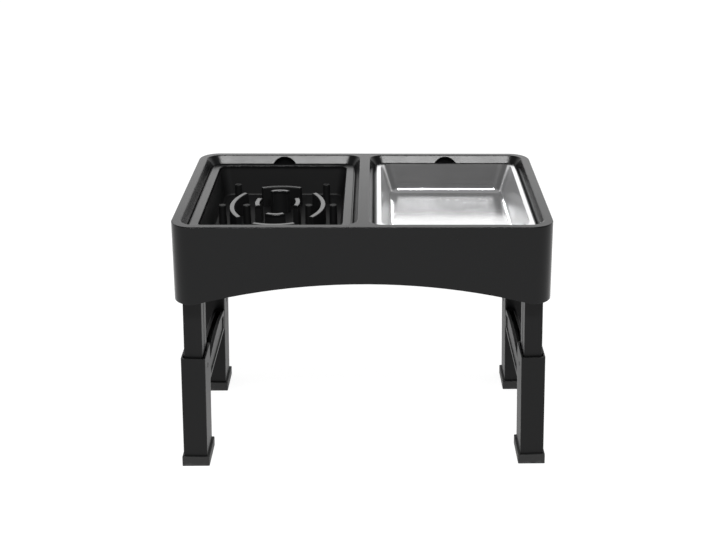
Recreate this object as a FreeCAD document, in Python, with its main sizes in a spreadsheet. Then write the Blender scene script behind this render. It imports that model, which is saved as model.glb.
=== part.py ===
import FreeCAD, Part
import math
import os
import re
import Sketcher

# Adjustable raised feeding stand: a moulded table with two wells, a slow-feeder bowl, a steel bowl
# and two folding, telescoping leg frames.
# Frame: millimetres, +Z up, +X to the right, the front faces -Y. The origin is on the floor under the
# middle of the table. Leg pieces are drawn in the frame of their leg: the origin on the hinge axis,
# local +Z up along the leg, local +X inboard.

# Driving sizes, in millimetres and degrees
SIZES = {
    # Table
    "top_width": 421,
    "top_depth": 268,
    "stand_height": 311,
    "corner_radius": 24,
    "apron_height": 92,
    "apron_draft": 1,
    "shell_wall": 3,
    "rim_edge_radius": 1,
    "arch_margin": 20.5,
    "arch_rise": 25,
    "arch_blend": 60,
    # Wells
    "side_rim": 10,
    "end_rim": 8.5,
    "divider_width": 12,
    "well_drop": 11,
    "well_slope": 6.5,
    "well_corner": 16,
    "well_edge_radius": 1.2,
    "ledge_width": 5.5,
    "notch_radius": 17,
    "notch_drop": 1.8,
    # Slow-feeder bowl
    "bowl_gap": 1.2,
    "feeder_flange": 9.5,
    "feeder_flange_thickness": 2.5,
    "feeder_wall": 2.2,
    "feeder_depth": 38,
    "feeder_slope": 5,
    "feeder_corner": 11,
    "feeder_floor_radius": 2.5,
    "feeder_edge_radius": 0.9,
    "maze_wall": 6.8,
    "maze_draft": 1.2,
    "maze_edge_radius": 1,
    "inner_maze_height": 28,
    "outer_maze_height": 24.5,
    "end_lane": 25,
    "inner_end_radius": 17,
    "inner_end_angle": 38,
    "side_lane": 30,
    "inner_side_radius": 45,
    "inner_side_angle": 18,
    "outer_side_inset": 21.05,
    "outer_side_radius": 79,
    "outer_side_angle": 33,
    "outer_end_inset": 36.3,
    "outer_end_radius": 57,
    "outer_end_angle": 25,
    "peg_diameter": 9.5,
    "peg_draft": 1,
    "peg_edge_radius": 0.8,
    "peg_height": 24,
    "near_peg_lane": 17,
    "far_peg_inset": 9,
    "corner_peg_inset": 20,
    "corner_peg_end_inset": 27.3,
    # Steel bowl
    "steel_sheet": 0.9,
    "steel_flange": 6.5,
    "steel_rim_height": 4,
    "steel_depth": 35,
    "steel_slope": 11,
    "steel_corner": 15,
    "steel_rim_radius": 2.4,
    "steel_floor_radius": 9,
    # Leg stance
    "leg_inset": 18.6,
    "leg_end_inset": 84,
    "leg_splay": 1.9,
    "hinge_drop": 70,
    # Upper tubes
    "tube_thick": 21,
    "tube_depth": 36,
    "tube_wall": 2.2,
    "tube_edge": 1.5,
    "tube_head": 16,
    "groove_width": 3,
    "groove_depth": 1,
    "groove_top": 22,
    "glide_play": 0.3,
    "glide_thickness": 5,
    "glide_plug": 8,
    # Lower sleeves
    "sleeve_thick": 28,
    "sleeve_depth": 43,
    "sleeve_wall": 2,
    "sleeve_edge": 1.6,
    "sleeve_top": 100.1,
    "height_pitch": 10,
    "height_steps": 6,
    "button_drop": 18,
    "key_width": 2,
    "key_length": 5,
    "key_play": 0.4,
    "key_mark_depth": 0.4,
    # Snap buttons
    "button_diameter": 6,
    "button_play": 0.3,
    "button_proud": 0.8,
    "button_collar": 9,
    "button_collar_thickness": 1.2,
    "spring_leaf": 0.6,
    "spring_width": 5,
    "spring_drop": 24,
    "spring_gap": 0.7,
    # Cross-braces
    "brace_thick": 13,
    "brace_setback": 0.5,
    "brace_drop": 49.2,
    "brace_end_height": 26,
    "brace_crown": 7,
    "brace_border": 4,
    "brace_recess": 1.5,
    "brace_channel": 6,
    # Feet
    "foot_height": 12,
    "foot_proud": 2.8,
    "foot_outboard": 1.45,
    "foot_floor": 4,
    "foot_edge": 1.2,
    # Hinges
    "hinge_pin": 6,
    "hinge_play": 0.05,
    "hinge_gap": 0.6,
    "hinge_cheek": 5,
    "hinge_stop": 1.8,
    "hinge_stop_gap": 0.9,
    "hinge_skirt": 13,
    "hinge_roof": 6,
    "hinge_head_gap": 2,
    "hinge_inboard": 11,
    "pin_head": 9,
    "pin_head_thickness": 2.5,
    "ear_length": 11,
    "ear_thickness": 4,
    "post_diameter": 10,
    "post_outboard": 2.5,
    "screw_diameter": 4,
    "screw_play": 0.2,
    "screw_length": 16,
    "screw_head": 8,
    "screw_head_thickness": 2.6,
    "recess_span": 4.6,
    "recess_width": 1,
    "recess_depth": 1.4,
}

doc = FreeCAD.newDocument("feeding_stand")
sheet = doc.addObject("Spreadsheet::Sheet", "Sizes")
for row, (alias, amount) in enumerate(SIZES.items(), start=1):
    sheet.set(f"A{row}", alias.replace("_", " "))
    sheet.set(f"B{row}", str(amount))
    sheet.setAlias(f"B{row}", alias)
doc.recompute()

# Sizes that follow from the driving ones
TERMS = {
    "leg_stance": "top_width - leg_inset",
    "leg_spacing": "top_depth - leg_end_inset",
    "hinge_height": "stand_height - hinge_drop",
    "tube_reach": "sleeve_top + button_drop + spring_drop + spring_gap + glide_plug",
    "floor_z": "stand_height - apron_height",
    "arch_span": "top_width - 2 * arch_margin",
    "corner_run": "sqrt(corner_radius ^ 2 - (corner_radius - shell_wall) ^ 2)",
    "arch_room": "top_width / 2 - corner_radius + corner_run - arch_span / 2",
    "arch_round": "min(arch_blend; arch_room * arch_span / (2 * arch_rise))",
    "skirt_growth": "apron_height * tan(apron_draft)",
    "well_width": "top_width / 2 - side_rim - divider_width / 2",
    "well_length": "top_depth - 2 * end_rim",
    "well_x": "divider_width / 2 + (top_width / 2 - side_rim - divider_width / 2) / 2",
    "ledge_z": "stand_height - well_drop",
    "seat_width": "well_width - 2 * well_slope",
    "seat_length": "well_length - 2 * well_slope",
    "seat_corner": "well_corner - well_slope / 2",
    "hole_width": "seat_width - 2 * ledge_width",
    "hole_length": "seat_length - 2 * ledge_width",
    "flange_width": "seat_width - 2 * bowl_gap",
    "flange_length": "seat_length - 2 * bowl_gap",
    "feeder_floor": "ledge_z + feeder_flange_thickness - feeder_depth",
    "feeder_half": "flange_width / 2 - feeder_flange - feeder_slope",
    "feeder_reach": "flange_length / 2 - feeder_flange - feeder_slope",
    "outer_side_offset": "feeder_half - outer_side_inset",
    "inner_side_offset": "outer_side_offset - side_lane",
    "near_peg_offset": "outer_side_offset - near_peg_lane",
    "outer_end_offset": "feeder_reach - outer_end_inset",
    "inner_end_offset": "outer_end_offset - end_lane - inner_end_radius",
    "far_peg_offset": "feeder_half - far_peg_inset",
    "corner_peg_offset": "feeder_half - corner_peg_inset",
    "corner_peg_reach": "feeder_reach - corner_peg_end_inset",
    "hinge_x": "leg_stance / 2 - hinge_height * tan(leg_splay)",
    "leg_length": "hinge_height / cos(leg_splay)",
    "tube_gap": "(sleeve_thick - 2 * sleeve_wall - tube_thick) / 2",
    "button_z": "-(sleeve_top + button_drop)",
    "sleeve_base": "leg_length - foot_floor",
    "cheek_inside": "tube_depth / 2 + hinge_gap",
    "cheek_outside": "tube_depth / 2 + hinge_gap + hinge_cheek",
    "bracket_top": "tube_thick / 2 + hinge_head_gap + hinge_roof",
    "ear_y": "tube_depth / 2 + hinge_gap + hinge_cheek + ear_length / 2",
    "brace_top": "-(sleeve_top + brace_drop - brace_end_height)",
    "brace_half": "leg_spacing / 2 - sleeve_depth / 2",
}


def formula(text):
    """A formula in plain size names, written out for the sheet."""
    def spell(match):
        word = match.group(0)
        if word in SIZES:
            return "Sizes." + word
        if word in TERMS:
            return "(" + formula(TERMS[word]) + ")"
        return word
    return re.sub(r"[a-z_]{3,}", spell, text)


def number(text):
    """The present value of a formula."""
    return float(sheet.evalExpression(formula(text)))


def bind(thing, name, text):
    """Ties one size of a feature to a formula."""
    thing.setExpression(name, formula(text))


# Sketch helpers
def new_body(label):
    body = doc.addObject("PartDesign::Body", label)
    body.Label = label
    return body


def sketch_on(body, name, plane="XY_Plane", x="0", y="0", z="0"):
    """An empty sketch on one of the body's origin planes, moved by formulas in the plane's axes."""
    sketch = body.newObject("Sketcher::SketchObject", name)
    support = next(f for f in body.Origin.OriginFeatures if f.Role == plane)
    sketch.AttachmentSupport = [(support, "")]
    sketch.MapMode = "FlatFace"
    for axis, text in zip("xyz", (x, y, z)):
        if text != "0":
            bind(sketch, "AttachmentOffset.Base." + axis, text)
    return sketch


def dimension(sketch, name, constraint, text):
    index = sketch.addConstraint(constraint)
    sketch.renameConstraint(index, name)
    bind(sketch, "Constraints." + name, text)


def locate(sketch, name, item, point, x, y):
    """Places one point of a sketch by formulas, measured from the sketch's origin."""
    for axis, kind, line, text in (("x", "DistanceX", -2, x), ("y", "DistanceY", -1, y)):
        amount = number(text)
        if abs(amount) < 1e-9:
            sketch.addConstraint(Sketcher.Constraint("PointOnObject", item, point, line))
        elif amount > 0:
            rule = Sketcher.Constraint(kind, -1, 1, item, point, amount)
            dimension(sketch, name + "_" + axis, rule, text)
        else:
            rule = Sketcher.Constraint(kind, item, point, -1, 1, -amount)
            dimension(sketch, name + "_" + axis, rule, "-(" + text + ")")


def rounded_rectangle(sketch, width, length, radius):
    """A rectangle with round corners about the sketch's origin."""
    half_x, half_y, r = number(width) / 2, number(length) / 2, number(radius)
    corners = [
        (half_x - r, r - half_y), (half_x - r, half_y - r),
        (r - half_x, half_y - r), (r - half_x, r - half_y),
    ]
    starts = [(r - half_x, -half_y), (half_x, r - half_y), (half_x - r, half_y), (-half_x, half_y - r)]
    ends = [(half_x - r, -half_y), (half_x, half_y - r), (r - half_x, half_y), (-half_x, r - half_y)]
    for turn, (corner, start, end) in enumerate(zip(corners, starts, ends)):
        sketch.addGeometry(Part.LineSegment(FreeCAD.Vector(*start, 0), FreeCAD.Vector(*end, 0)))
        circle = Part.Circle(FreeCAD.Vector(*corner, 0), FreeCAD.Vector(0, 0, 1), r)
        first = (turn - 1) * math.pi / 2
        sketch.addGeometry(Part.ArcOfCircle(circle, first, first + math.pi / 2))
    rules = [Sketcher.Constraint("Tangent", i, 2, (i + 1) % 8, 1) for i in range(8)]
    rules += [Sketcher.Constraint("Horizontal", i) for i in (0, 4)]
    rules += [Sketcher.Constraint("Vertical", i) for i in (2, 6)]
    rules += [Sketcher.Constraint("Equal", 1, i) for i in (3, 5)]
    rules += [Sketcher.Constraint("Symmetric", 1, 3, 5, 3, -1, 1)]
    sketch.addConstraint(rules)
    dimension(sketch, "width", Sketcher.Constraint("DistanceX", 6, 2, 2, 1, 2 * half_x), width)
    dimension(sketch, "length", Sketcher.Constraint("DistanceY", 0, 1, 4, 2, 2 * half_y), length)
    dimension(sketch, "radius", Sketcher.Constraint("Radius", 1, r), radius)


def circle(sketch, name, diameter, x="0", y="0"):
    centre = FreeCAD.Vector(number(x), number(y), 0)
    item = sketch.addGeometry(Part.Circle(centre, FreeCAD.Vector(0, 0, 1), number(diameter) / 2))
    dimension(sketch, name + "_diameter", Sketcher.Constraint("Diameter", item, number(diameter)), diameter)
    locate(sketch, name, item, 3, x, y)


def polygon(sketch, points, name="corner"):
    """A closed outline of straight edges through points given by formulas."""
    spots = [FreeCAD.Vector(number(x), number(y), 0) for x, y in points]
    items = [
        sketch.addGeometry(Part.LineSegment(spot, spots[(i + 1) % len(spots)]))
        for i, spot in enumerate(spots)
    ]
    for i, item in enumerate(items):
        following = items[(i + 1) % len(items)]
        sketch.addConstraint(Sketcher.Constraint("Coincident", item, 2, following, 1))
    for i, (item, (x, y)) in enumerate(zip(items, points)):
        locate(sketch, f"{name}{i}", item, 1, x, y)


def segment(sketch, half_chord, base, rise, drop):
    """A circular arch over a chord, closed by a box that reaches drop below the chord."""
    c, b, r = number(half_chord), number(base), number(rise)
    low = b - number(drop)
    top = FreeCAD.Vector(0, b + r, 0)
    arch = Part.Arc(FreeCAD.Vector(c, b, 0), top, FreeCAD.Vector(-c, b, 0))
    spots = [FreeCAD.Vector(x, y, 0) for x, y in ((-c, b), (-c, low), (c, low), (c, b))]
    sketch.addGeometry(arch)
    for start, end in zip(spots, spots[1:]):
        sketch.addGeometry(Part.LineSegment(start, end))
    sketch.addConstraint([Sketcher.Constraint("Coincident", i, 2, (i + 1) % 4, 1) for i in range(4)])
    radius = f"(({half_chord}) ^ 2 + ({rise}) ^ 2) / (2 * ({rise}))"
    dimension(sketch, "arch_radius", Sketcher.Constraint("Radius", 0, number(radius)), radius)
    locate(sketch, "left", 1, 1, f"-({half_chord})", base)
    locate(sketch, "low_left", 2, 1, f"-({half_chord})", f"{base} - ({drop})")
    locate(sketch, "low_right", 3, 1, half_chord, f"{base} - ({drop})")
    locate(sketch, "right", 3, 2, half_chord, base)


def ring_piece(sketch, name, heading, centre, radius, half_angle, width):
    """A piece of a ring about an axis of the sketch: heading is the angle that it faces, centre the
    distance of the ring's middle from the origin along that heading (below 0 behind the origin)."""
    across = heading in (0, 180)
    sign = 1 if heading in (0, 90) else -1
    middle = sign * number(centre)
    spot = FreeCAD.Vector(middle, 0, 0) if across else FreeCAD.Vector(0, middle, 0)
    first = math.radians(heading - number(half_angle))
    last = math.radians(heading + number(half_angle))
    rims = []
    for change in ("+", "-"):
        rim_radius = f"({radius}) {change} ({width}) / 2"
        rim = Part.Circle(spot, FreeCAD.Vector(0, 0, 1), number(rim_radius))
        item = sketch.addGeometry(Part.ArcOfCircle(rim, first, last))
        rims.append((item, rim_radius, rim))
    (outer, outer_radius, outer_rim), (inner, inner_radius, inner_rim) = rims
    sides = [
        sketch.addGeometry(Part.LineSegment(inner_rim.value(angle), outer_rim.value(angle)))
        for angle in (first, last)
    ]
    sketch.addConstraint(Sketcher.Constraint("Coincident", outer, 3, inner, 3))
    for side, end in zip(sides, (1, 2)):
        sketch.addConstraint(Sketcher.Constraint("Coincident", side, 1, inner, end))
        sketch.addConstraint(Sketcher.Constraint("Coincident", side, 2, outer, end))
        sketch.addConstraint(Sketcher.Constraint("PointOnObject", outer, 3, side))
    for tag, item, rim_radius in (("outer", outer, outer_radius), ("inner", inner, inner_radius)):
        rule = Sketcher.Constraint("Radius", item, number(rim_radius))
        dimension(sketch, f"{name}_{tag}", rule, rim_radius)
    along = f"{sign} * ({centre})"
    locate(sketch, name + "_middle", outer, 3, along if across else "0", "0" if across else along)
    chord = f"({outer_radius}) * sin({half_angle})"
    kind = "DistanceY" if across else "DistanceX"
    ends = (1, 2) if heading in (0, 270) else (2, 1)
    for tag, end, order in (("first", ends[0], 0), ("last", ends[1], 1)):
        pair = (outer, end, -1, 1) if order == 0 else (-1, 1, outer, end)
        rule = Sketcher.Constraint(kind, *pair, number(chord))
        dimension(sketch, f"{name}_{tag}", rule, chord)


# Feature helpers
def refresh(body, *items):
    """Computes new items of a body in order, then the body."""
    for item in (*items, body):
        item.recompute()


def pad(body, sketch, length, up=True, both_ways=False, taper=None):
    feature = body.newObject("PartDesign::Pad", sketch.Name + "_pad")
    feature.Profile = sketch
    feature.Reversed = not up
    if both_ways:
        feature.SideType = "Symmetric"
    bind(feature, "Length", length)
    if taper:
        bind(feature, "TaperAngle", taper)
    refresh(body, sketch, feature)
    return feature


def pocket(body, sketch, length, up=False, both_ways=False, taper=None):
    """A cut that must take material away."""
    before = body.Shape.Volume
    feature = body.newObject("PartDesign::Pocket", sketch.Name + "_cut")
    feature.Profile = sketch
    feature.Reversed = up
    if both_ways:
        feature.SideType = "Symmetric"
    bind(feature, "Length", length)
    if taper:
        bind(feature, "TaperAngle", taper)
    refresh(body, sketch, feature)
    if not body.Shape.Volume < before - 1e-6:
        raise ValueError(f"{body.Label}: {sketch.Name} cuts nothing")
    return feature


def loft(body, kind, first, second):
    feature = body.newObject("PartDesign::" + kind, first.Name + "_loft")
    feature.Profile = first
    feature.Sections = [second]
    feature.Ruled = True
    refresh(body, first, second, feature)
    return feature


def round_edges(body, name, radius, chosen):
    """Rounds the edges of the body's last feature that the test picks."""
    base = body.Tip
    names = [f"Edge{i}" for i, edge in enumerate(base.Shape.Edges, start=1) if chosen(edge)]
    if not names:
        raise ValueError(f"{body.Label}: {name} finds no edge")
    feature = body.newObject("PartDesign::Fillet", name)
    feature.Base = (base, names)
    bind(feature, "Radius", radius)
    refresh(body, feature)
    return feature


def level(z):
    """Picks the edges that lie flat at one height."""
    height = number(z)
    return lambda edge: abs(edge.BoundBox.ZMin - height) < 1e-4 and abs(edge.BoundBox.ZMax - height) < 1e-4


def upright(edge):
    """Picks the straight edges along the body's own Z axis."""
    box = edge.BoundBox
    return edge.Curve.TypeId == "Part::GeomLine" and box.XLength < 1e-4 and box.YLength < 1e-4


def tapered_tub(body, name, kind, x, top, base, narrowing, width, length, radius, base_radius):
    """A tub with sloping walls between two rounded rectangles, added or cut."""
    first = sketch_on(body, name + "_top", x=x, z=top)
    rounded_rectangle(first, width, length, radius)
    second = sketch_on(body, name + "_base", x=x, z=base)
    slim = f"2 * ({narrowing})"
    rounded_rectangle(second, f"({width}) - {slim}", f"({length}) - {slim}", base_radius)
    return loft(body, kind, first, second)


# Table
def make_table_shell():
    """One moulding: rim, divider, two sloping wells with ledges, drafted apron, arches, screw posts."""
    body = new_body("table_shell")
    outline = sketch_on(body, "outline", z="stand_height")
    rounded_rectangle(outline, "top_width", "top_depth", "corner_radius")
    pad(body, outline, "apron_height", up=False, taper="apron_draft")
    round_edges(body, "rim_edge", "rim_edge_radius", level("stand_height"))

    hollow = sketch_on(body, "hollow", z="floor_z")
    inset = "2 * (skirt_growth - shell_wall)"
    rounded_rectangle(hollow, f"top_width + {inset}", f"top_depth + {inset}",
                      "corner_radius - shell_wall + skirt_growth")
    pocket(body, hollow, "apron_height - shell_wall", up=True, taper="-apron_draft")

    posts = sketch_on(body, "posts", z="hinge_height + bracket_top")
    bores = []
    for side in (-1, 1):
        for end in (-1, 1):
            for ear in (-1, 1):
                x = f"{side} * (hinge_x + post_outboard)"
                y = f"{end} * leg_spacing / 2 + {ear} * ear_y"
                bores.append((x, y))
                circle(posts, f"post{len(bores)}", "post_diameter", x, y)
    pad(body, posts, "stand_height - hinge_height - bracket_top - shell_wall / 2")

    for name, side in (("left", "-1"), ("right", "1")):
        middle = f"{side} * well_x"
        skin = "2 * shell_wall"
        tapered_tub(body, name + "_tub", "AdditiveLoft", middle, "stand_height - shell_wall / 2",
                    "ledge_z - shell_wall", "well_slope", f"well_width + {skin}", f"well_length + {skin}",
                    "well_corner + shell_wall", "seat_corner + shell_wall")
    for name, side in (("left", "-1"), ("right", "1")):
        middle = f"{side} * well_x"
        tapered_tub(body, name + "_well", "SubtractiveLoft", middle, "stand_height", "ledge_z", "well_slope",
                    "well_width", "well_length", "well_corner", "seat_corner")
        hole = sketch_on(body, name + "_hole", x=middle, z="ledge_z")
        rounded_rectangle(hole, "hole_width", "hole_length", "seat_corner - ledge_width / 2")
        pocket(body, hole, "stand_height - hinge_height - bracket_top")
        notch = sketch_on(body, name + "_notch", "XZ_Plane", z="-(hole_length / 2 - shell_wall)")
        circle(notch, "notch", "2 * notch_radius", middle, "stand_height - notch_drop - notch_radius")
        pocket(body, notch, "ledge_width + well_slope + 2 * shell_wall")

    crown = level("stand_height")
    inside = number("top_width / 2 - side_rim"), number("top_depth / 2 - end_rim")
    round_edges(body, "well_edges", "well_edge_radius", lambda edge: crown(edge)
                and max(edge.BoundBox.XMax, -edge.BoundBox.XMin) < inside[0] + 1e-3
                and max(edge.BoundBox.YMax, -edge.BoundBox.YMin) < inside[1] + 1e-3)

    arch = sketch_on(body, "arch", "XZ_Plane")
    segment(arch, "arch_span / 2", "floor_z", "arch_rise", "shell_wall")
    pocket(body, arch, "2 * top_depth", both_ways=True)
    springing = level("floor_z")
    round_edges(body, "arch_blends", "arch_round", lambda edge: springing(edge)
                and edge.BoundBox.XLength < 1e-4
                and abs(abs(edge.BoundBox.XMin) - number("arch_span / 2")) < 1e-3)

    pilot = sketch_on(body, "pilots", z="hinge_height + bracket_top")
    for count, (x, y) in enumerate(bores, start=1):
        circle(pilot, f"pilot{count}", "screw_diameter + screw_play", x, y)
    pocket(body, pilot, "screw_length - ear_thickness + shell_wall", up=True)
    return body


# Bowls
def make_slow_feeder():
    """A moulded insert: a flange round a tub with sloping walls."""
    body = new_body("slow_feeder_bowl")
    middle = "-1 * well_x"
    top = "ledge_z + feeder_flange_thickness"
    mouth = ("flange_width - 2 * feeder_flange", "flange_length - 2 * feeder_flange")
    skin = "2 * feeder_wall"
    flange = sketch_on(body, "flange", x=middle, z="ledge_z")
    rounded_rectangle(flange, "flange_width", "flange_length", "seat_corner - bowl_gap")
    pad(body, flange, "feeder_flange_thickness")
    tapered_tub(body, "tub", "AdditiveLoft", middle, "ledge_z + feeder_flange_thickness / 2",
                "feeder_floor - feeder_wall", "feeder_slope", f"{mouth[0]} + {skin}", f"{mouth[1]} + {skin}",
                "feeder_corner + feeder_wall", "feeder_corner + feeder_wall")
    tapered_tub(body, "cavity", "SubtractiveLoft", middle, top, "feeder_floor", "feeder_slope", *mouth,
                "feeder_corner", "feeder_corner")
    round_edges(body, "floor_round", "feeder_floor_radius", level("feeder_floor"))
    round_edges(body, "flange_edges", "feeder_edge_radius", level(top))
    return body


def make_feeder_maze():
    """Two broken oval rings of walls and a set of pegs, all standing on the insert's floor."""
    body = new_body("feeder_maze")
    body.AllowCompound = True
    middle = "-1 * well_x"
    inner = sketch_on(body, "inner_maze", x=middle, z="feeder_floor")
    for name, heading in (("rear", 90), ("front", 270)):
        ring_piece(inner, name, heading, "inner_end_offset", "inner_end_radius",
                   "inner_end_angle", "maze_wall")
    for name, heading in (("right", 0), ("left", 180)):
        ring_piece(inner, name, heading, "inner_side_offset - inner_side_radius", "inner_side_radius",
                   "inner_side_angle", "maze_wall")
    pad(body, inner, "inner_maze_height", taper="-maze_draft")

    outer = sketch_on(body, "outer_maze", x=middle, z="feeder_floor")
    for name, heading in (("right", 0), ("left", 180)):
        ring_piece(outer, name, heading, "outer_side_offset - outer_side_radius", "outer_side_radius",
                   "outer_side_angle", "maze_wall")
    for name, heading in (("rear", 90), ("front", 270)):
        ring_piece(outer, name, heading, "outer_end_offset - outer_end_radius", "outer_end_radius",
                   "outer_end_angle", "maze_wall")
    pad(body, outer, "outer_maze_height", taper="-maze_draft")

    pegs = sketch_on(body, "pegs", x=middle, z="feeder_floor")
    for side in (-1, 1):
        circle(pegs, f"near_peg{side + 2}", "peg_diameter", f"{side} * near_peg_offset")
        circle(pegs, f"far_peg{side + 2}", "peg_diameter", f"{side} * far_peg_offset")
        for end in (-1, 1):
            name = f"corner_peg{side + 2}{end + 2}"
            circle(pegs, name, "peg_diameter", f"{side} * corner_peg_offset", f"{end} * corner_peg_reach")
    pad(body, pegs, "peg_height", taper="-peg_draft")
    round_edges(body, "inner_tops", "maze_edge_radius", level("feeder_floor + inner_maze_height"))
    round_edges(body, "outer_tops", "maze_edge_radius", level("feeder_floor + outer_maze_height"))
    round_edges(body, "peg_tops", "peg_edge_radius", level("feeder_floor + peg_height"))
    return body


def make_steel_bowl():
    """Pressed sheet: a tub with sloping walls and a flat rim whose outer edge is turned down."""
    body = new_body("steel_bowl")
    middle = "well_x"
    top = "ledge_z + steel_rim_height"
    floor = "ledge_z + steel_rim_height - steel_depth"
    mouth = ("flange_width - 2 * steel_flange", "flange_length - 2 * steel_flange")
    skin = "2 * steel_sheet"
    rim = sketch_on(body, "rim", x=middle, z="ledge_z")
    rounded_rectangle(rim, "flange_width", "flange_length", "seat_corner - bowl_gap")
    pad(body, rim, "steel_rim_height")
    round_edges(body, "rim_round", "steel_rim_radius", level(top))
    under = sketch_on(body, "rim_underside", x=middle, z="ledge_z")
    rounded_rectangle(under, f"flange_width - {skin}", f"flange_length - {skin}",
                      "seat_corner - bowl_gap - steel_sheet")
    pocket(body, under, "steel_rim_height - steel_sheet", up=True)
    tapered_tub(body, "tub", "AdditiveLoft", middle, top + " - steel_sheet / 2", floor + " - steel_sheet",
                "steel_slope", f"{mouth[0]} + {skin}", f"{mouth[1]} + {skin}",
                "steel_corner + steel_sheet", "steel_corner + steel_sheet")
    tapered_tub(body, "cavity", "SubtractiveLoft", middle, top, floor, "steel_slope", *mouth,
                "steel_corner", "steel_corner")
    round_edges(body, "floor_round", "steel_floor_radius", level(floor))
    round_edges(body, "base_round", "steel_floor_radius + steel_sheet", level(floor + " - steel_sheet"))
    return body


# Leg pieces, each drawn upright about its hinge axis
def make_upper_leg(label):
    """Moulded tube with a round head on the hinge pin, a guide groove and a window for the button."""
    body = new_body(label)
    side = sketch_on(body, "side", "XZ_Plane")
    polygon(side, [
        ("-tube_thick / 2", "0"),
        ("-tube_thick / 2", "-tube_reach"),
        ("tube_thick / 2", "-tube_reach"),
        ("tube_thick / 2", "0"),
    ])
    pad(body, side, "tube_depth", both_ways=True)
    head = sketch_on(body, "head", "XZ_Plane")
    circle(head, "head", "tube_thick")
    pad(body, head, "tube_depth", both_ways=True)
    round_edges(body, "tube_edges", "tube_edge", upright)
    hollow = sketch_on(body, "hollow", z="-tube_reach")
    rounded_rectangle(hollow, "tube_thick - 2 * tube_wall", "tube_depth - 2 * tube_wall", "tube_edge")
    pocket(body, hollow, "tube_reach - tube_head", up=True)
    bore = sketch_on(body, "pin_bore", "XZ_Plane")
    circle(bore, "bore", "hinge_pin + 2 * hinge_play")
    pocket(body, bore, "2 * tube_depth", both_ways=True)
    groove = sketch_on(body, "groove", "YZ_Plane", z="tube_thick / 2")
    low = "-(sleeve_top + key_length + 2 * key_play + sleeve_wall)"
    half = "groove_width / 2"
    polygon(groove, [("-" + half, low), (half, low), (half, "-groove_top"), ("-" + half, "-groove_top")])
    pocket(body, groove, "groove_depth")
    window = sketch_on(body, "button_window", "YZ_Plane", z="-tube_thick / 2")
    circle(window, "window", "button_diameter + 2 * button_play", "0", "button_z")
    pocket(body, window, "2 * tube_wall", up=True)
    return body


def make_leg_glide(label):
    """Low-friction collar plugged into the lower end of a tube, which keeps it centred in the sleeve."""
    body = new_body(label)
    collar = sketch_on(body, "collar", z="-tube_reach")
    rounded_rectangle(collar, "sleeve_thick - 2 * (sleeve_wall + glide_play)",
                      "sleeve_depth - 2 * (sleeve_wall + glide_play)", "tube_edge")
    pad(body, collar, "glide_thickness", up=False)
    plug = sketch_on(body, "plug", z="-tube_reach")
    rounded_rectangle(plug, "tube_thick - 2 * (tube_wall + glide_play)",
                      "tube_depth - 2 * (tube_wall + glide_play)", "tube_edge")
    pad(body, plug, "glide_plug")
    return body


def make_sleeve(label):
    """Lower leg: a wider tube with height holes outboard and a small inboard key that runs in the groove."""
    body = new_body(label)
    outside = sketch_on(body, "outside", z="-sleeve_top")
    rounded_rectangle(outside, "sleeve_thick", "sleeve_depth", "sleeve_edge")
    pad(body, outside, "sleeve_base - sleeve_top", up=False)
    bore = sketch_on(body, "bore", z="-sleeve_top")
    rounded_rectangle(bore, "sleeve_thick - 2 * sleeve_wall", "sleeve_depth - 2 * sleeve_wall", "tube_edge")
    pocket(body, bore, "sleeve_base - sleeve_top")
    key = sketch_on(body, "key", "YZ_Plane", z="tube_thick / 2 - groove_depth + key_play")
    high = "-(sleeve_top + sleeve_wall)"
    low = "-(sleeve_top + sleeve_wall + key_length)"
    half = "key_width / 2"
    polygon(key, [("-" + half, low), (half, low), (half, high), ("-" + half, high)])
    pad(body, key, "tube_gap + groove_depth - key_play + sleeve_wall / 2")
    mark = sketch_on(body, "key_mark", "YZ_Plane", z="sleeve_thick / 2")
    circle(mark, "mark", "button_diameter", "0", "button_z")
    pocket(body, mark, "key_mark_depth")
    holes = sketch_on(body, "height_hole", "YZ_Plane", z="-sleeve_thick / 2")
    circle(holes, "hole", "button_diameter + 2 * button_play", "0", "button_z")
    first = pocket(body, holes, "2 * sleeve_wall", up=True)
    row = body.newObject("PartDesign::LinearPattern", "height_row")
    row.Originals = [first]
    row.Direction = (holes, ["V_Axis"])
    row.Reversed = True
    bind(row, "Length", "height_pitch * height_steps")
    bind(row, "Occurrences", "height_steps + 1")
    body.Tip = row
    refresh(body, row)
    return body


def make_foot(label):
    """Rubber shoe round the end of a sleeve, its sole cut level with the floor."""
    body = new_body(label)
    inboard = "sleeve_thick / 2 + foot_proud"
    outboard = "-(sleeve_thick / 2 + foot_outboard)"
    top = "foot_height - leg_length"
    side = sketch_on(body, "side", "XZ_Plane")
    polygon(side, [
        (outboard, top),
        (outboard, f"{outboard} * tan(leg_splay) - leg_length"),
        (inboard, f"({inboard}) * tan(leg_splay) - leg_length"),
        (inboard, top),
    ])
    pad(body, side, "sleeve_depth + 2 * foot_proud", both_ways=True)
    round_edges(body, "shoe_edges", "foot_edge", upright)
    round_edges(body, "shoe_top", "foot_edge / 2", level(top))
    socket = sketch_on(body, "socket", z="-sleeve_base")
    rounded_rectangle(socket, "sleeve_thick", "sleeve_depth", "sleeve_edge")
    pocket(body, socket, "foot_height", up=True)
    return body


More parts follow.
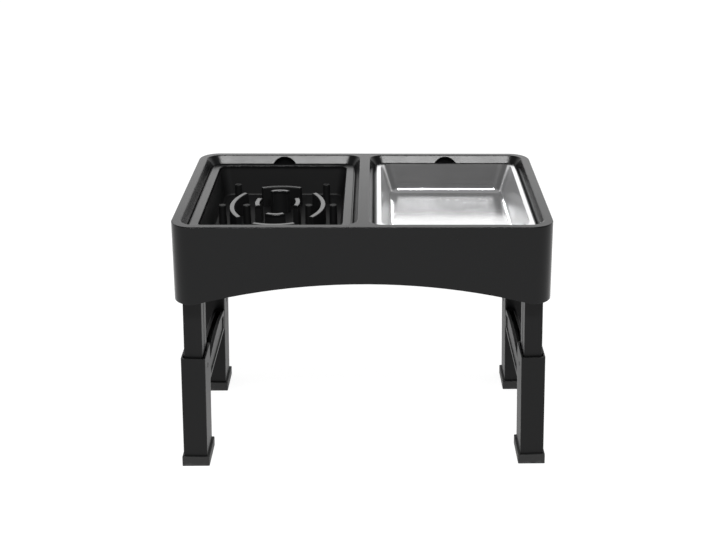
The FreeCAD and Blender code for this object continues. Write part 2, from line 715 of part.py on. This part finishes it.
def make_snap_button(label):
    """Plunger with a collar inside the tube and a round nose in a height hole of the sleeve."""
    body = new_body(label)
    seat = "tube_wall + button_play - tube_thick / 2"
    collar = sketch_on(body, "collar", "YZ_Plane", z=seat)
    circle(collar, "collar", "button_collar", "0", "button_z")
    pad(body, collar, "button_collar_thickness")
    stem = sketch_on(body, "stem", "YZ_Plane", z=seat)
    circle(stem, "stem", "button_diameter", "0", "button_z")
    pad(body, stem, "sleeve_thick / 2 - tube_thick / 2 + tube_wall + button_play + button_proud", up=False)
    tip = number("-(sleeve_thick / 2 + button_proud)")
    round_edges(body, "nose", "button_diameter / 3", lambda edge: abs(edge.BoundBox.XMax - tip) < 1e-4)
    return body


def make_button_spring(label):
    """Bent leaf in the tube behind a button: one arm on the far wall, one on the collar."""
    body = new_body(label)
    back = "(tube_thick / 2 - tube_wall - button_play)"
    front = "(tube_wall + button_collar_thickness + 2 * button_play - tube_thick / 2)"
    apex = "(button_z - spring_drop)"
    rise = "(button_z + button_diameter)"
    leaf = sketch_on(body, "leaf", "XZ_Plane")
    polygon(leaf, [
        (back, rise),
        (back, apex),
        (f"{back} - 3 * spring_leaf", apex),
        (front, "button_z - button_diameter"),
        (front, "button_z + button_diameter / 2"),
        (f"{front} + spring_leaf", "button_z + button_diameter / 2"),
        (f"{front} + spring_leaf", "button_z - button_diameter"),
        (f"{back} - 2 * spring_leaf", f"{apex} + spring_leaf"),
        (f"{back} - spring_leaf", f"{apex} + spring_leaf"),
        (f"{back} - spring_leaf", rise),
    ])
    pad(body, leaf, "spring_width", both_ways=True)
    return body


def make_cross_brace(label):
    """Bar between the two sleeves of a side: crowned upper edge, bordered recess on the inner face."""
    body = new_body(label)
    inner_face = "sleeve_thick / 2 - brace_setback"
    profile = sketch_on(body, "profile", "YZ_Plane", z=inner_face)
    segment(profile, "brace_half", "brace_top", "brace_crown", "brace_end_height")
    pad(body, profile, "brace_thick", up=False)
    for face, depth_from in (("inner", inner_face), ("outer", f"{inner_face} - brace_thick")):
        panel = sketch_on(body, face + "_panel", "YZ_Plane", z=depth_from)
        segment(panel, "brace_half - 2 * brace_border", "brace_top - brace_border", "brace_crown",
                "brace_end_height - 2 * brace_border")
        pocket(body, panel, "brace_recess", up=face == "outer")
    channel = sketch_on(body, "channel", "YZ_Plane", z=f"{inner_face} - brace_thick / 2")
    segment(channel, "brace_half - brace_border", "brace_top", "2 * brace_crown", "brace_channel")
    pocket(body, channel, "brace_thick - 2 * (brace_recess + sleeve_wall)", both_ways=True)
    return body


# Hinge pieces
def make_hinge_bracket(label):
    """Saddle screwed under the table: two cheeks for the pin, an outboard stop and two ears."""
    body = new_body(label)
    outboard = "-(tube_thick / 2 + hinge_stop_gap + hinge_stop)"
    block = sketch_on(body, "block", "XZ_Plane")
    polygon(block, [
        (outboard, "-hinge_skirt"),
        ("hinge_inboard", "-hinge_skirt"),
        ("hinge_inboard", "bracket_top"),
        (outboard, "bracket_top"),
    ])
    pad(body, block, "2 * cheek_outside", both_ways=True)
    ears = sketch_on(body, "ears", x="-post_outboard", z="bracket_top")
    rounded_rectangle(ears, "post_diameter + 2 * hinge_stop", "2 * (cheek_outside + ear_length)",
                      "post_diameter / 2")
    pad(body, ears, "ear_thickness", up=False)
    slot = sketch_on(body, "slot", "XZ_Plane")
    stop = "-(tube_thick / 2 + hinge_stop_gap)"
    ceiling = "bracket_top - hinge_roof"
    far = "2 * hinge_inboard"
    deep = "-2 * hinge_skirt"
    polygon(slot, [(stop, deep), (far, deep), (far, ceiling), (stop, ceiling)])
    pocket(body, slot, "2 * cheek_inside", both_ways=True)
    bore = sketch_on(body, "pin_bore", "XZ_Plane")
    circle(bore, "bore", "hinge_pin + 2 * hinge_play")
    pocket(body, bore, "3 * cheek_outside", both_ways=True)
    holes = sketch_on(body, "screw_holes", x="-post_outboard", z="bracket_top")
    for count, ear in enumerate((-1, 1)):
        circle(holes, f"hole{count}", "screw_diameter + 2 * screw_play", "0", f"{ear} * ear_y")
    pocket(body, holes, "2 * ear_thickness")
    return body


def make_hinge_pin(label):
    body = new_body(label)
    shank = sketch_on(body, "shank", "XZ_Plane", z="-(cheek_outside + hinge_gap)")
    circle(shank, "shank", "hinge_pin")
    pad(body, shank, "2 * cheek_outside + hinge_gap")
    head = sketch_on(body, "head", "XZ_Plane", z="cheek_outside")
    circle(head, "head", "pin_head")
    pad(body, head, "pin_head_thickness")
    return body


def make_bracket_screws(label):
    """All bracket screws as one group: heads with a cross recess under the ears, shanks in the posts."""
    screws = []
    for side in (-1, 1):
        for end in (-1, 1):
            for ear in (-1, 1):
                tag = f"screw{len(screws) + 1}"
                shank = doc.addObject("Part::Cylinder", tag + "_shank")
                bind(shank, "Radius", "screw_diameter / 2")
                bind(shank, "Height", "screw_length")
                head = doc.addObject("Part::Cylinder", tag + "_head")
                bind(head, "Radius", "screw_head / 2")
                bind(head, "Height", "screw_head_thickness")
                bind(head, "Placement.Base.z", "-screw_head_thickness")
                blank = doc.addObject("Part::Fuse", tag + "_blank")
                blank.Base = shank
                blank.Tool = head
                slots = []
                for name, length, width in (
                    ("slot", "recess_span", "recess_width"),
                    ("cross_slot", "recess_width", "recess_span"),
                ):
                    slot = doc.addObject("Part::Box", f"{tag}_{name}")
                    bind(slot, "Length", length)
                    bind(slot, "Width", width)
                    bind(slot, "Height", "recess_depth")
                    bind(slot, "Placement.Base.x", f"-{length} / 2")
                    bind(slot, "Placement.Base.y", f"-{width} / 2")
                    bind(slot, "Placement.Base.z", "-screw_head_thickness")
                    slots.append(slot)
                recess = doc.addObject("Part::MultiFuse", tag + "_recess")
                recess.Shapes = slots
                screw = doc.addObject("Part::Cut", tag)
                screw.Base = blank
                screw.Tool = recess
                bind(screw, "Placement.Base.x", f"{side} * (hinge_x + post_outboard)")
                bind(screw, "Placement.Base.y", f"{end} * leg_spacing / 2 + {ear} * ear_y")
                bind(screw, "Placement.Base.z", "hinge_height + bracket_top - ear_thickness")
                screws.append(screw)
    group = doc.addObject("Part::Compound", label)
    group.Label = label
    group.Links = screws
    return group


def leg_placement(side, end, leaning):
    """Where a leg's own frame stands: side -1 is left, end -1 is front. Right legs are turned about."""
    place = FreeCAD.Vector(side * number("hinge_x"), end * number("leg_spacing") / 2, number("hinge_height"))
    turn = FreeCAD.Rotation(FreeCAD.Vector(0, 0, 1), 0 if side < 0 else 180)
    lean = FreeCAD.Rotation(FreeCAD.Vector(0, 1, 0), -side * number("leg_splay") if leaning else 0)
    return FreeCAD.Placement(place, lean.multiply(turn))


parts = [
    make_table_shell(),
    make_slow_feeder(),
    make_feeder_maze(),
    make_steel_bowl(),
    make_bracket_screws("bracket_screws"),
]
LEANING = {
    "upper_leg": make_upper_leg,
    "leg_glide": make_leg_glide,
    "leg_sleeve": make_sleeve,
    "foot": make_foot,
    "snap_button": make_snap_button,
    "button_spring": make_button_spring,
}
UPRIGHT = {"hinge_bracket": make_hinge_bracket, "hinge_pin": make_hinge_pin}
for side_name, side in (("left", -1), ("right", 1)):
    brace = make_cross_brace("cross_brace_" + side_name)
    brace.Placement = leg_placement(side, 0, True)
    parts.append(brace)
    for end_name, end in (("front", -1), ("rear", 1)):
        for makers, leaning in ((LEANING, True), (UPRIGHT, False)):
            for name, maker in makers.items():
                piece = maker(f"{name}_{end_name}_{side_name}")
                piece.Placement = leg_placement(side, end, leaning)
                parts.append(piece)
doc.recompute()

# Every object must have been made before anything is written
for item in doc.Objects:
    if any(state in ("Invalid", "Error") for state in item.State):
        raise RuntimeError(f"{item.Label} failed: {item.State}")
for item in parts:
    if item.Shape.isNull() or not item.Shape.isValid() or not item.Shape.Solids:
        raise RuntimeError(f"{item.Label} has no sound solid")

os.makedirs("parts", exist_ok=True)
for item in parts:
    item.Shape.exportStep(f"parts/{item.Label}.step")
print(len(parts), "parts written")
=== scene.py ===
import math

import bpy
from bpy.props import FloatProperty, FloatVectorProperty, PointerProperty
from mathutils import Matrix, Vector


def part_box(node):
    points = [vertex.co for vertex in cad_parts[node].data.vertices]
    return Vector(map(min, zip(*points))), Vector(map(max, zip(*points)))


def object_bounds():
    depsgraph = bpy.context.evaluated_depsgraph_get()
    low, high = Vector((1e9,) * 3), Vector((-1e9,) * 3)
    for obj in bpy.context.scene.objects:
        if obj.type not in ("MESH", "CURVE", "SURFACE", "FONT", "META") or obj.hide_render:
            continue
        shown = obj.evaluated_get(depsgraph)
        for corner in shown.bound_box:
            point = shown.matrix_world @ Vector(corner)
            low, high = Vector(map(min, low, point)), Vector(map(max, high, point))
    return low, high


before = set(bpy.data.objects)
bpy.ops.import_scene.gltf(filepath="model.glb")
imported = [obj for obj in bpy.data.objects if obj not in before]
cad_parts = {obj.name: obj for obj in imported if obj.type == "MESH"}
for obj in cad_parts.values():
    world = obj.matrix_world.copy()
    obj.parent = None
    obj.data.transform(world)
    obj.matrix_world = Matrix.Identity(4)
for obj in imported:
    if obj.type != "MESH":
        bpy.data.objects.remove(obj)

bl_info = {
    "name": "Raised Feeding Stand",
    "version": (1, 0, 0),
    "blender": (4, 5, 0),
    "location": "3D View > Sidebar > Feeding Stand",
    "description": "Finishes, light and camera for a folding feeding stand with two bowls",
    "category": "Object",
}

CAD_BOX = [list(corner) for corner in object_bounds()]
MM = 0.001


# Shader building
class Flow:
    """A value that runs through a material: sums and products with it add Math nodes."""

    def __init__(self, finish, socket):
        self.finish = finish
        self.socket = socket

    def maths(self, operation, first, second):
        return self.finish.node("ShaderNodeMath", {"operation": operation}, {0: first, 1: second})

    def __add__(self, other):
        return self.maths("ADD", self, other)

    __radd__ = __add__

    def __sub__(self, other):
        return self.maths("SUBTRACT", self, other)

    def __rsub__(self, other):
        return self.maths("SUBTRACT", other, self)

    def __mul__(self, other):
        return self.maths("MULTIPLY", self, other)

    __rmul__ = __mul__


class Finish:
    """One procedural material under construction."""

    def __init__(self, name, base_color, roughness, **uniform):
        self.material = bpy.data.materials.new(name)
        self.material.use_nodes = True
        self.tree = self.material.node_tree
        self.shader = next(n for n in self.tree.nodes if n.type == "BSDF_PRINCIPLED")
        self.feed(**{"Base Color": (*base_color, 1), "Roughness": roughness})
        self.feed(**{key.replace("_", " "): value for key, value in uniform.items()})

    def node(self, kind, settings=None, sockets=None, output=0):
        """Adds a node: its settings first, then the values or links of its sockets."""
        made = self.tree.nodes.new(kind)
        for key, value in (settings or {}).items():
            setattr(made, key, value)
        for key, value in (sockets or {}).items():
            self.plug(made.inputs[key], value)
        return Flow(self, made.outputs[output])

    def plug(self, socket, value):
        if isinstance(value, Flow):
            self.tree.links.new(value.socket, socket)
        else:
            socket.default_value = value

    def feed(self, **values):
        """Sets or links sockets of the material's shader."""
        for key, value in values.items():
            self.plug(self.shader.inputs[key], value)

    # Patterns
    def place(self, scale=(1, 1, 1)):
        """Coordinates fixed to the piece, in metres, stretched by scale."""
        where = self.node("ShaderNodeTexCoord", output="Object")
        return self.node("ShaderNodeVectorMath", {"operation": "MULTIPLY"}, {0: where, 1: scale})

    def noise(self, scale, detail=2.0, rough=0.5, stretch=(1, 1, 1)):
        sockets = {"Vector": self.place(stretch), "Scale": scale, "Detail": detail, "Roughness": rough}
        return self.node("ShaderNodeTexNoise", None, sockets, "Fac")

    def band(self, value, low, high):
        """0 below low, 1 above high, smooth between."""
        settings = {"interpolation_type": "SMOOTHSTEP"}
        return self.node("ShaderNodeMapRange", settings, {"Value": value, "From Min": low, "From Max": high})

    def blend(self, share, first, second):
        """Colour that goes from first to second as share goes from 0 to 1."""
        settings = {"data_type": "RGBA"}
        return self.node("ShaderNodeMix", settings, {0: share, 6: first, 7: second}, 2)

    def soft_edges(self, radius):
        """Normals that turn round sharp edges, and a mask that is high on those edges."""
        turned = self.node("ShaderNodeBevel", {"samples": 6}, {"Radius": radius})
        straight = self.node("ShaderNodeNewGeometry", output="Normal")
        settings = {"operation": "DOT_PRODUCT"}
        along = self.node("ShaderNodeVectorMath", settings, {0: turned, 1: straight}, "Value")
        return turned, self.band(1 - along, 0.01, 0.16)

    def bump(self, height, depth, strength, normal=None):
        sockets = {"Height": height, "Distance": depth, "Strength": strength}
        if normal is not None:
            sockets["Normal"] = normal
        return self.node("ShaderNodeBump", None, sockets)


def moulded_plastic(
        name, color, roughness, grain, edge_radius, specular, scuffs=0.0, matt_fade=None, gloss=0.0):
    """Satin moulded plastic: fine spark-eroded grain, faint flow clouds, worn edges and, if asked, scuffs
    and a duller surface that fades out between two heights, with a gloss above them."""
    finish = Finish(name, color, roughness, Specular_IOR_Level=specular)
    normal, edge = finish.soft_edges(edge_radius)
    cloud = finish.noise(7, 3, 0.55)
    drift = finish.noise(38, 2, 0.6)
    fine = finish.noise(1500, 2, 0.6)
    worn = finish.band(finish.noise(210, 3, 0.65) * edge, 0.28, 0.62)
    rough = roughness + (cloud - 0.5) * 0.1 + (drift - 0.5) * 0.06 + worn * 0.12
    if scuffs:
        along = finish.band(finish.noise(1, 3, 0.6, (9, 420, 420)), 0.66, 0.74)
        across = finish.band(finish.noise(1, 3, 0.6, (420, 11, 420)), 0.67, 0.75)
        patch = finish.band(finish.noise(14, 2, 0.5), 0.45, 0.65)
        rough = rough + (along + across) * patch * scuffs
    if matt_fade is not None:
        height = finish.node("ShaderNodeSeparateXYZ", None, {0: finish.place()}, "Z")
        above = finish.band(height, *matt_fade)
        rough = rough + (1 - above) * 0.3
        if gloss:
            finish.feed(**{"Coat Weight": above * gloss, "Coat Roughness": roughness})
    lighter = tuple(min(1, channel * 2.6 + 0.012) for channel in color)
    dusk = tuple(channel * 0.82 for channel in color)
    tone = finish.blend(cloud, (*color, 1), (*dusk, 1))
    finish.feed(**{
        "Base Color": finish.blend(worn * 0.6, tone, (*lighter, 1)),
        "Roughness": rough,
        "Normal": finish.bump(fine, 0.05 * MM, grain, normal),
    })
    return finish.material


def pressed_steel(name, color, roughness):
    """Satin stainless sheet: brushing along the walls and floor, duller sides and finger smears."""
    finish = Finish(name, color, roughness, Metallic=1.0)
    facing = finish.node("ShaderNodeTexCoord", output="Normal")
    parts = finish.node("ShaderNodeSeparateXYZ", None, {0: facing}, "X")
    side = finish.band(parts * parts, 0.35, 0.6)
    along_x = finish.noise(1, 4, 0.7, (14, 2600, 2600))
    along_y = finish.noise(1, 4, 0.7, (2600, 14, 2600))
    brush = along_x * (1 - side) + along_y * side
    smear = finish.noise(16, 4, 0.6)
    cloud = finish.noise(5, 2, 0.5)
    dull = tuple(channel * 0.9 for channel in color)
    finish.feed(**{
        "Base Color": finish.blend(cloud, (*color, 1), (*dull, 1)),
        "Roughness": roughness + (brush - 0.5) * 0.16 + (smear - 0.5) * 0.08 + side * 0.2,
        "Normal": finish.bump(brush, 0.02 * MM, 0.12),
    })
    return finish.material


def moulded_rubber(name, color, roughness):
    """Matt rubber with a pebbled skin, paler in blotches of dirt, and paler on its edges and towards the
    sole.
    """
    finish = Finish(name, color, roughness, Specular_IOR_Level=0.35)
    normal, edge = finish.soft_edges(0.6 * MM)
    pebble = finish.node("ShaderNodeTexVoronoi", None, {"Vector": finish.place(), "Scale": 900}, "Distance")
    dirt = finish.noise(120, 4, 0.65)
    height = finish.node("ShaderNodeSeparateXYZ", None, {0: finish.place()}, "Z")
    sole = 1 - finish.band(height, 0.5 * MM, 5 * MM)
    # Paler in blotches of dirt, and paler on the edges and towards the sole, fading out 5 mm up
    pale_share = finish.band(dirt + sole * 0.22 + edge * 0.12, 0.56, 0.86)
    pale = tuple(channel * 2.4 + 0.03 for channel in color)
    finish.feed(**{
        "Base Color": finish.blend(pale_share * 0.55, (*color, 1), (*pale, 1)),
        "Roughness": roughness + (dirt - 0.5) * 0.16,
        "Normal": finish.bump(pebble, 0.12 * MM, 0.25, normal),
    })
    return finish.material


def plated_steel(name, color, roughness, streaks):
    """Small steel hardware: plating clouds, fine machining streaks and bright rubbed edges."""
    finish = Finish(name, color, roughness, Metallic=1.0)
    normal, edge = finish.soft_edges(0.25 * MM)
    cloud = finish.noise(180, 3, 0.6)
    machined = finish.noise(1, 3, 0.6, streaks)
    bright = tuple(min(1, channel * 1.35) for channel in color)
    plating = finish.blend(cloud * 0.4, (*color, 1), (*bright, 1))
    finish.feed(**{
        "Base Color": finish.blend(edge * 0.7, plating, (*bright, 1)),
        "Roughness": roughness + (cloud - 0.5) * 0.2 - edge * 0.06,
        "Normal": finish.bump(machined, 0.03 * MM, 0.3, normal),
    })
    return finish.material


# Settings
class StandFinishes(bpy.types.PropertyGroup):
    """Colours and gloss of the stand's materials."""

    plastic: FloatVectorProperty(
        name="Plastic", description="Colour of the black moulded plastic", subtype="COLOR",
        size=3, min=0, max=1, default=(0.0042, 0.0043, 0.0045))
    plastic_roughness: FloatProperty(
        name="Plastic Roughness", description="Roughness of the satin plastic", subtype="FACTOR",
        min=0, max=1, default=0.22)
    plastic_sheen: FloatProperty(
        name="Plastic Sheen", description="Strength of the plastic's reflection", subtype="FACTOR",
        min=0, max=1, default=0.19)
    leg_roughness: FloatProperty(
        name="Leg Roughness", description="Roughness of the duller plastic of the legs", subtype="FACTOR",
        min=0, max=1, default=0.45)
    feeder_roughness: FloatProperty(
        name="Feeder Roughness", description="Roughness of the slow feeder's smoother plastic",
        subtype="FACTOR", min=0, max=1, default=0.22)
    feeder_sheen: FloatProperty(
        name="Feeder Sheen", description="Strength of the slow feeder's reflection", subtype="FACTOR",
        min=0, max=1, default=0.24)
    maze_gloss: FloatProperty(
        name="Maze Gloss", description="Gloss on the tops of the maze's walls", subtype="FACTOR",
        min=0, max=1, default=0.5)
    steel: FloatVectorProperty(
        name="Steel", description="Colour of the pressed bowl", subtype="COLOR",
        size=3, min=0, max=1, default=(0.62, 0.62, 0.625))
    steel_roughness: FloatProperty(
        name="Steel Roughness", description="Roughness of the brushed sheet", subtype="FACTOR",
        min=0, max=1, default=0.15)
    hardware: FloatVectorProperty(
        name="Hardware", description="Colour of pins, screws and springs", subtype="COLOR",
        size=3, min=0, max=1, default=(0.5, 0.5, 0.52))
    rubber: FloatVectorProperty(
        name="Rubber", description="Colour of the feet", subtype="COLOR",
        size=3, min=0, max=1, default=(0.012, 0.012, 0.012))
    glide: FloatVectorProperty(
        name="Glide", description="Colour of the glide collars inside the legs", subtype="COLOR",
        size=3, min=0, max=1, default=(0.12, 0.12, 0.122))
    edge_radius: FloatProperty(
        name="Edge Radius", description="Softness of moulded edges", unit="LENGTH", subtype="DISTANCE",
        min=0, max=0.005, default=0.0007)


class StandStage(bpy.types.PropertyGroup):
    """Floor, light and camera."""

    floor: FloatVectorProperty(
        name="Floor", description="Colour of the pale floor", subtype="COLOR",
        size=3, min=0, max=1, default=(0.2, 0.2, 0.2))
    floor_glow: FloatProperty(
        name="Floor Glow", description="Light that comes through the pale floor",
        min=0, max=10, default=0.9)
    rear_sky: FloatProperty(
        name="Rear Wall Light", description="Brightness of the studio wall behind the stand",
        min=0, max=10, default=2.0)
    front_sky: FloatProperty(
        name="Front Wall Light", description="Brightness of the studio in front of the stand",
        min=0, max=10, default=0.2)
    ceiling: FloatProperty(
        name="Ceiling Light", description="Brightness of the studio overhead",
        min=0, max=10, default=0.5)
    key: FloatProperty(
        name="Key Light", description="Power of the soft light above the front", unit="POWER",
        min=0, max=2000, default=50)
    camera_place: FloatVectorProperty(
        name="Camera Place", description="Where the camera stands", subtype="TRANSLATION", unit="LENGTH",
        size=3, default=(0.01441, -1.31979, 0.76591))
    camera_pitch: FloatProperty(
        name="Camera Pitch", description="How far the camera looks down", subtype="ANGLE", unit="ROTATION",
        default=math.radians(21.797))
    camera_yaw: FloatProperty(
        name="Camera Yaw", description="Turn of the camera to the left", subtype="ANGLE", unit="ROTATION",
        default=math.radians(-2.041))
    camera_roll: FloatProperty(
        name="Camera Roll", description="Tilt of the camera about its own axis", subtype="ANGLE",
        unit="ROTATION", default=math.radians(-0.691))
    lens: FloatProperty(
        name="Lens", description="Focal length", unit="CAMERA", min=10, max=300, default=58.843)
    lens_shift: FloatVectorProperty(
        name="Lens Shift", description="Way from the lens axis to the picture's middle, in picture widths",
        size=2, default=(-0.0797, -0.0362))


def dress(prefix, material):
    """Gives a finish to every piece whose name starts with the prefix."""
    found = [piece for name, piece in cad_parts.items() if name.startswith(prefix)]
    if not found:
        raise RuntimeError(f"no piece is named {prefix}")
    for piece in found:
        piece.data.materials.clear()
        piece.data.materials.append(material)


class StandOperator:
    """What the operators below share."""

    bl_options = {"REGISTER", "UNDO"}

    def execute(self, context):
        self.make(context.scene.stand_finishes, context.scene.stand_stage)
        return {"FINISHED"}


class STAND_OT_table_shell(StandOperator, bpy.types.Operator):
    """Finish the moulded table"""

    bl_idname = "stand.table_shell"
    bl_label = "Table Shell"

    def make(self, looks, stage):
        dress("table_shell", moulded_plastic(
            "shell_satin", looks.plastic, looks.plastic_roughness, grain=0.22,
            edge_radius=looks.edge_radius, specular=looks.plastic_sheen, scuffs=0.08))


class STAND_OT_slow_feeder(StandOperator, bpy.types.Operator):
    """Finish the slow-feeder bowl"""

    bl_idname = "stand.slow_feeder"
    bl_label = "Slow Feeder"

    # How far under a piece's top its plastic is dull, and how far under it is satin
    wall_fade = (6 * MM, 2 * MM)
    maze_fade = (3.9 * MM, 3.6 * MM)

    def make(self, looks, stage):
        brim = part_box("slow_feeder_bowl")[1][2]
        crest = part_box("feeder_maze")[1][2]
        shared = {"grain": 0.12, "edge_radius": looks.edge_radius, "scuffs": 0.05}
        dress("slow_feeder_bowl", moulded_plastic(
            "feeder_satin", looks.plastic, looks.feeder_roughness, specular=looks.feeder_sheen,
            matt_fade=[brim - drop for drop in self.wall_fade], **shared))
        dress("feeder_maze", moulded_plastic(
            "maze_satin", looks.plastic, looks.feeder_roughness, specular=looks.plastic_sheen,
            matt_fade=[crest - drop for drop in self.maze_fade], gloss=looks.maze_gloss, **shared))


class STAND_OT_steel_bowl(StandOperator, bpy.types.Operator):
    """Finish the pressed steel bowl"""

    bl_idname = "stand.steel_bowl"
    bl_label = "Steel Bowl"

    def make(self, looks, stage):
        dress("steel_bowl", pressed_steel("bowl_steel", looks.steel, looks.steel_roughness))


class STAND_OT_legs(StandOperator, bpy.types.Operator):
    """Finish the tubes, sleeves, braces and hinge brackets"""

    bl_idname = "stand.legs"
    bl_label = "Legs"

    def make(self, looks, stage):
        shared = {"edge_radius": looks.edge_radius, "specular": looks.plastic_sheen}
        satin = moulded_plastic(
            "leg_satin", looks.plastic, looks.leg_roughness, grain=0.2, scuffs=0.07, **shared)
        for prefix in ("upper_leg", "leg_sleeve", "cross_brace"):
            dress(prefix, satin)
        dress("hinge_bracket", moulded_plastic(
            "bracket_satin", looks.plastic, looks.leg_roughness, grain=0.25, **shared))
        dress("leg_glide", moulded_plastic(
            "glide_grey", looks.glide, roughness=0.42, grain=0.1,
            edge_radius=looks.edge_radius, specular=0.5))


class STAND_OT_feet(StandOperator, bpy.types.Operator):
    """Finish the rubber feet"""

    bl_idname = "stand.feet"
    bl_label = "Feet"

    def make(self, looks, stage):
        dress("foot", moulded_rubber("foot_rubber", looks.rubber, roughness=0.58))


class STAND_OT_hardware(StandOperator, bpy.types.Operator):
    """Finish the hinge pins, screws, buttons and springs"""

    bl_idname = "stand.hardware"
    bl_label = "Hardware"

    def make(self, looks, stage):
        for prefix, name, roughness, streaks in (
                ("hinge_pin", "pin_steel", 0.3, (600, 4000, 600)),
                ("bracket_screws", "screw_zinc", 0.34, (1500, 1500, 5000)),
                ("button_spring", "spring_strip", 0.28, (3000, 200, 3000))):
            dress(prefix, plated_steel(name, looks.hardware, roughness, streaks))
        dress("snap_button", moulded_plastic(
            "button_gloss", looks.plastic, roughness=0.26, grain=0.06, edge_radius=0.3 * MM,
            specular=looks.plastic_sheen))


class STAND_OT_stage(StandOperator, bpy.types.Operator):
    """Set up the floor, the soft light and the camera"""

    bl_idname = "stand.stage"
    bl_label = "Stage"

    # The soft light, in metres: where it hangs, what it faces, its width and height
    key_place = (0.05, -1.49, 1.78)
    key_target = (0, 0.12, 0.306)
    key_size = (1.3, 0.22)
    # Directions between which the dim front turns into the bright wall, and the wall into the ceiling
    wall_fade = (-0.2, 0.4)
    ceiling_fade = (0.5, 0.68)
    floor_reach = 20

    def make(self, looks, stage):
        self.lay_floor(stage)
        self.light_studio(stage)
        self.hang_softbox("key_softbox", self.key_place, self.key_target, self.key_size, stage.key)
        self.stand_camera(stage)

    def lay_floor(self, stage):
        reach = self.floor_reach
        corners = [(-reach, -reach, 0), (reach, -reach, 0), (reach, reach, 0), (-reach, reach, 0)]
        mesh = bpy.data.meshes.new("floor")
        mesh.from_pydata(corners, [], [(0, 1, 2, 3)])
        floor = bpy.data.objects.new("floor", mesh)
        floor.location.z = CAD_BOX[0][2]
        finish = Finish("floor_pale", stage.floor, 0.7, Specular_IOR_Level=0.1)
        shade = tuple(channel * 0.985 for channel in stage.floor)
        finish.feed(**{
            "Base Color": finish.blend(finish.noise(3, 3, 0.5), (*stage.floor, 1), (*shade, 1)),
            "Emission Color": (1, 1, 1, 1),
            "Emission Strength": stage.floor_glow,
        })
        mesh.materials.append(finish.material)
        bpy.context.scene.collection.objects.link(floor)

    def light_studio(self, stage):
        """A room with a bright wall behind the stand, a dim front and a ceiling."""
        world = bpy.data.worlds.new("studio")
        world.use_nodes = True
        tree = world.node_tree
        tree.nodes.clear()
        where = tree.nodes.new("ShaderNodeTexCoord")
        split = tree.nodes.new("ShaderNodeSeparateXYZ")
        tree.links.new(where.outputs["Generated"], split.inputs[0])
        light = tree.nodes.new("ShaderNodeBackground")
        out = tree.nodes.new("ShaderNodeOutputWorld")
        wall = self.fade(tree, split.outputs["Y"], *self.wall_fade, stage.front_sky, stage.rear_sky)
        height = self.fade(tree, split.outputs["Z"], *self.ceiling_fade, 0, 1)
        room = tree.nodes.new("ShaderNodeMix")
        tree.links.new(height, room.inputs[0])
        tree.links.new(wall, room.inputs[2])
        room.inputs[3].default_value = stage.ceiling
        tree.links.new(room.outputs[0], light.inputs["Strength"])
        tree.links.new(light.outputs[0], out.inputs[0])
        bpy.context.scene.world = world

    def fade(self, tree, value, low, high, first, second):
        """A value that goes smoothly from first to second as another goes from low to high."""
        ramp = tree.nodes.new("ShaderNodeMapRange")
        ramp.interpolation_type = "SMOOTHSTEP"
        tree.links.new(value, ramp.inputs["Value"])
        for name, amount in (("From Min", low), ("From Max", high), ("To Min", first), ("To Max", second)):
            ramp.inputs[name].default_value = amount
        return ramp.outputs[0]

    def hang_softbox(self, name, place, target, size, power):
        data = bpy.data.lights.new(name, "AREA")
        data.shape = "RECTANGLE"
        data.size, data.size_y = size
        data.energy = power
        lamp = bpy.data.objects.new(name, data)
        lamp.location = place
        aim = Vector(target) - Vector(place)
        lamp.rotation_euler = aim.to_track_quat("-Z", "Y").to_euler()
        lamp.visible_camera = False
        bpy.context.scene.collection.objects.link(lamp)

    def stand_camera(self, stage):
        yaw, pitch, roll = stage.camera_yaw, stage.camera_pitch, stage.camera_roll
        right = Vector((math.cos(yaw), math.sin(yaw), 0))
        level = Vector((-math.sin(yaw), math.cos(yaw), 0))
        ahead = level * math.cos(pitch) - Vector((0, 0, math.sin(pitch)))
        down = ahead.cross(right)
        tilted_right = right * math.cos(roll) + down * math.sin(roll)
        tilted_down = down * math.cos(roll) - right * math.sin(roll)
        data = bpy.data.cameras.new("camera")
        data.sensor_fit = "HORIZONTAL"
        data.sensor_width = 36
        data.lens = stage.lens
        data.shift_x, data.shift_y = stage.lens_shift
        data.clip_end = 100
        camera = bpy.data.objects.new("camera", data)
        turn = Matrix((tilted_right, -tilted_down, -ahead)).transposed()
        camera.matrix_world = Matrix.Translation(Vector(stage.camera_place)) @ turn.to_4x4()
        bpy.context.scene.collection.objects.link(camera)
        bpy.context.scene.camera = camera
        bpy.context.scene.view_settings.view_transform = "Standard"


OPERATORS = (
    STAND_OT_table_shell,
    STAND_OT_slow_feeder,
    STAND_OT_steel_bowl,
    STAND_OT_legs,
    STAND_OT_feet,
    STAND_OT_hardware,
    STAND_OT_stage,
)


class STAND_PT_panel(bpy.types.Panel):
    """Lists the stand's settings and steps"""

    bl_idname = "STAND_PT_panel"
    bl_label = "Feeding Stand"
    bl_space_type = "VIEW_3D"
    bl_region_type = "UI"
    bl_category = "Feeding Stand"

    def draw(self, context):
        for operator in OPERATORS:
            self.layout.operator(operator.bl_idname)
        for settings in (context.scene.stand_finishes, context.scene.stand_stage):
            column = self.layout.column()
            for name in settings.__annotations__:
                column.prop(settings, name)


CLASSES = (StandFinishes, StandStage, *OPERATORS, STAND_PT_panel)


def register():
    for cls in CLASSES:
        bpy.utils.register_class(cls)
    bpy.types.Scene.stand_finishes = PointerProperty(type=StandFinishes)
    bpy.types.Scene.stand_stage = PointerProperty(type=StandStage)


def unregister():
    del bpy.types.Scene.stand_stage
    del bpy.types.Scene.stand_finishes
    for cls in reversed(CLASSES):
        bpy.utils.unregister_class(cls)


def main():
    register()
    for operator in OPERATORS:
        group, name = operator.bl_idname.split(".")
        getattr(getattr(bpy.ops, group), name)()


if __name__ == "__main__":
    main()
